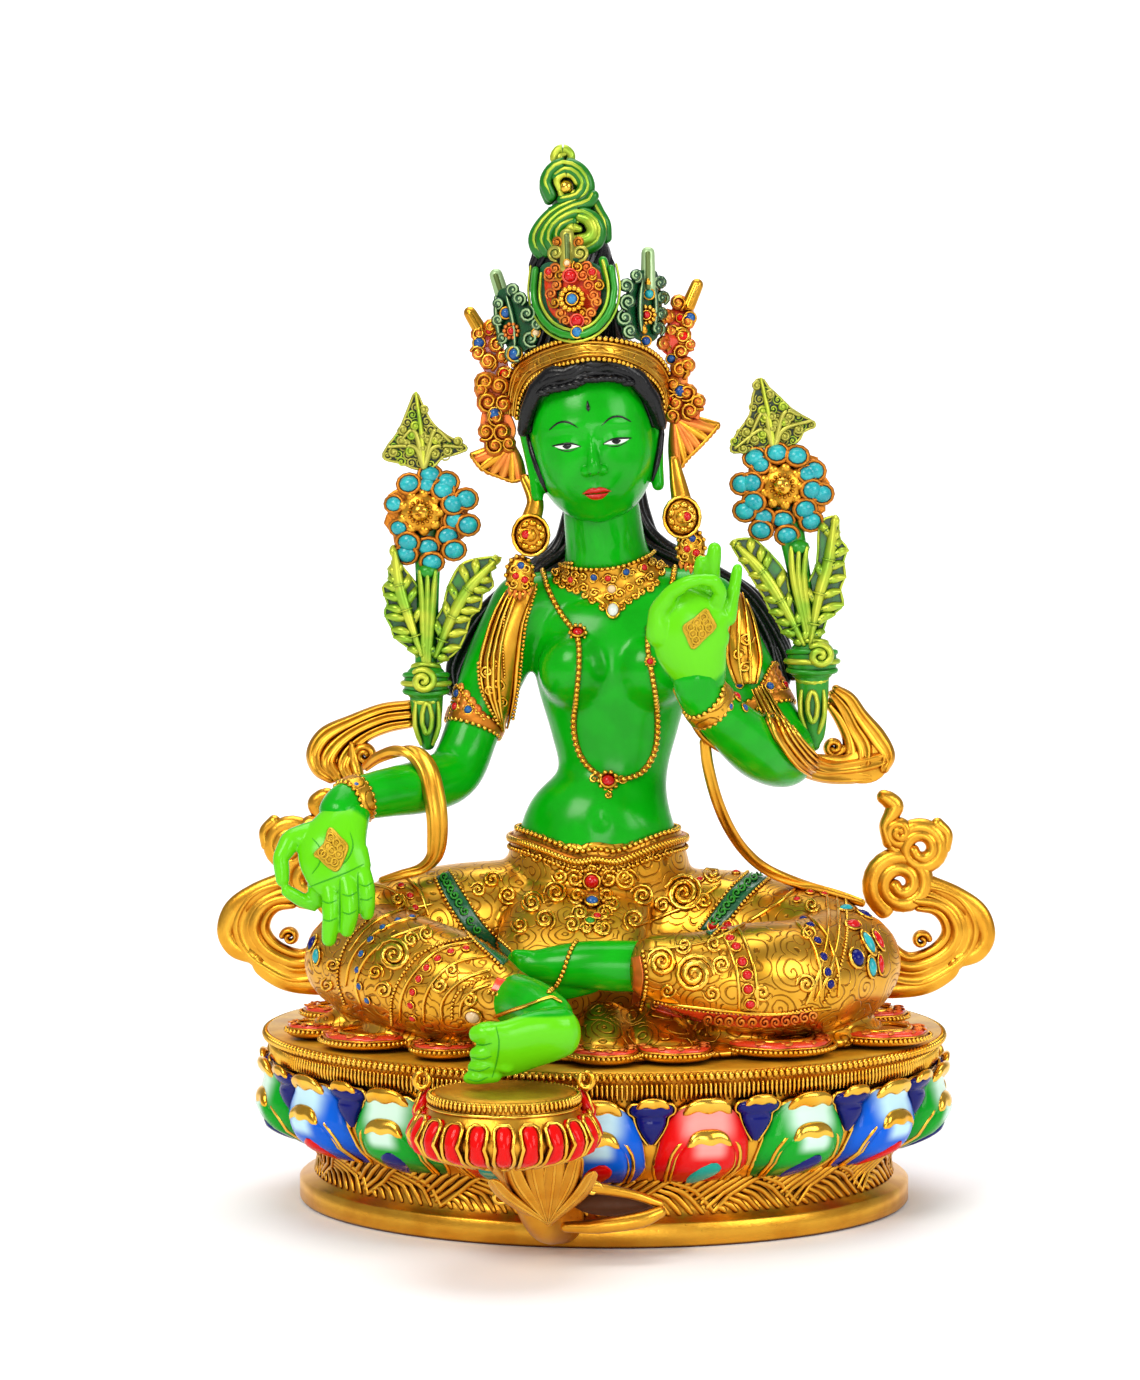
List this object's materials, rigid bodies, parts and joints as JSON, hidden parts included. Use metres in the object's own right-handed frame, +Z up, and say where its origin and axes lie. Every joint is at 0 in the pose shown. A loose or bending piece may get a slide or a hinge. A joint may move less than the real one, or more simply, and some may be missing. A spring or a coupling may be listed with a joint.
{
  "type": "tara figure",
  "caption": "Gilt and painted seated Tara on an oval lotus plinth, right foot on a small lotus, with crown, sashes and lotus sprays.",
  "frame": {"origin": "centre of the plinth's underside", "axes": "+Z up, the figure faces -Y, +X is the viewer's right, her left"},
  "size_m": [0.2498, 0.2058, 0.3298],
  "materials": {
    "plinth_gilt": "gilded cast copper with painted petals",
    "figure_paint": "gloss green skin, gilded and engraved dress",
    "crown_gilt": "gilded, orange and green paint, set stones",
    "spray_paint": "gloss green and gold paint, turquoise stones"
  },
  "bodies": {
    "root": {"lotus_plinth": "plinth_gilt", "tara_figure": "figure_paint", "crown": "crown_gilt", "lotus_spray_right": "spray_paint", "lotus_spray_left": "spray_paint"}
  },
  "joints": []
}
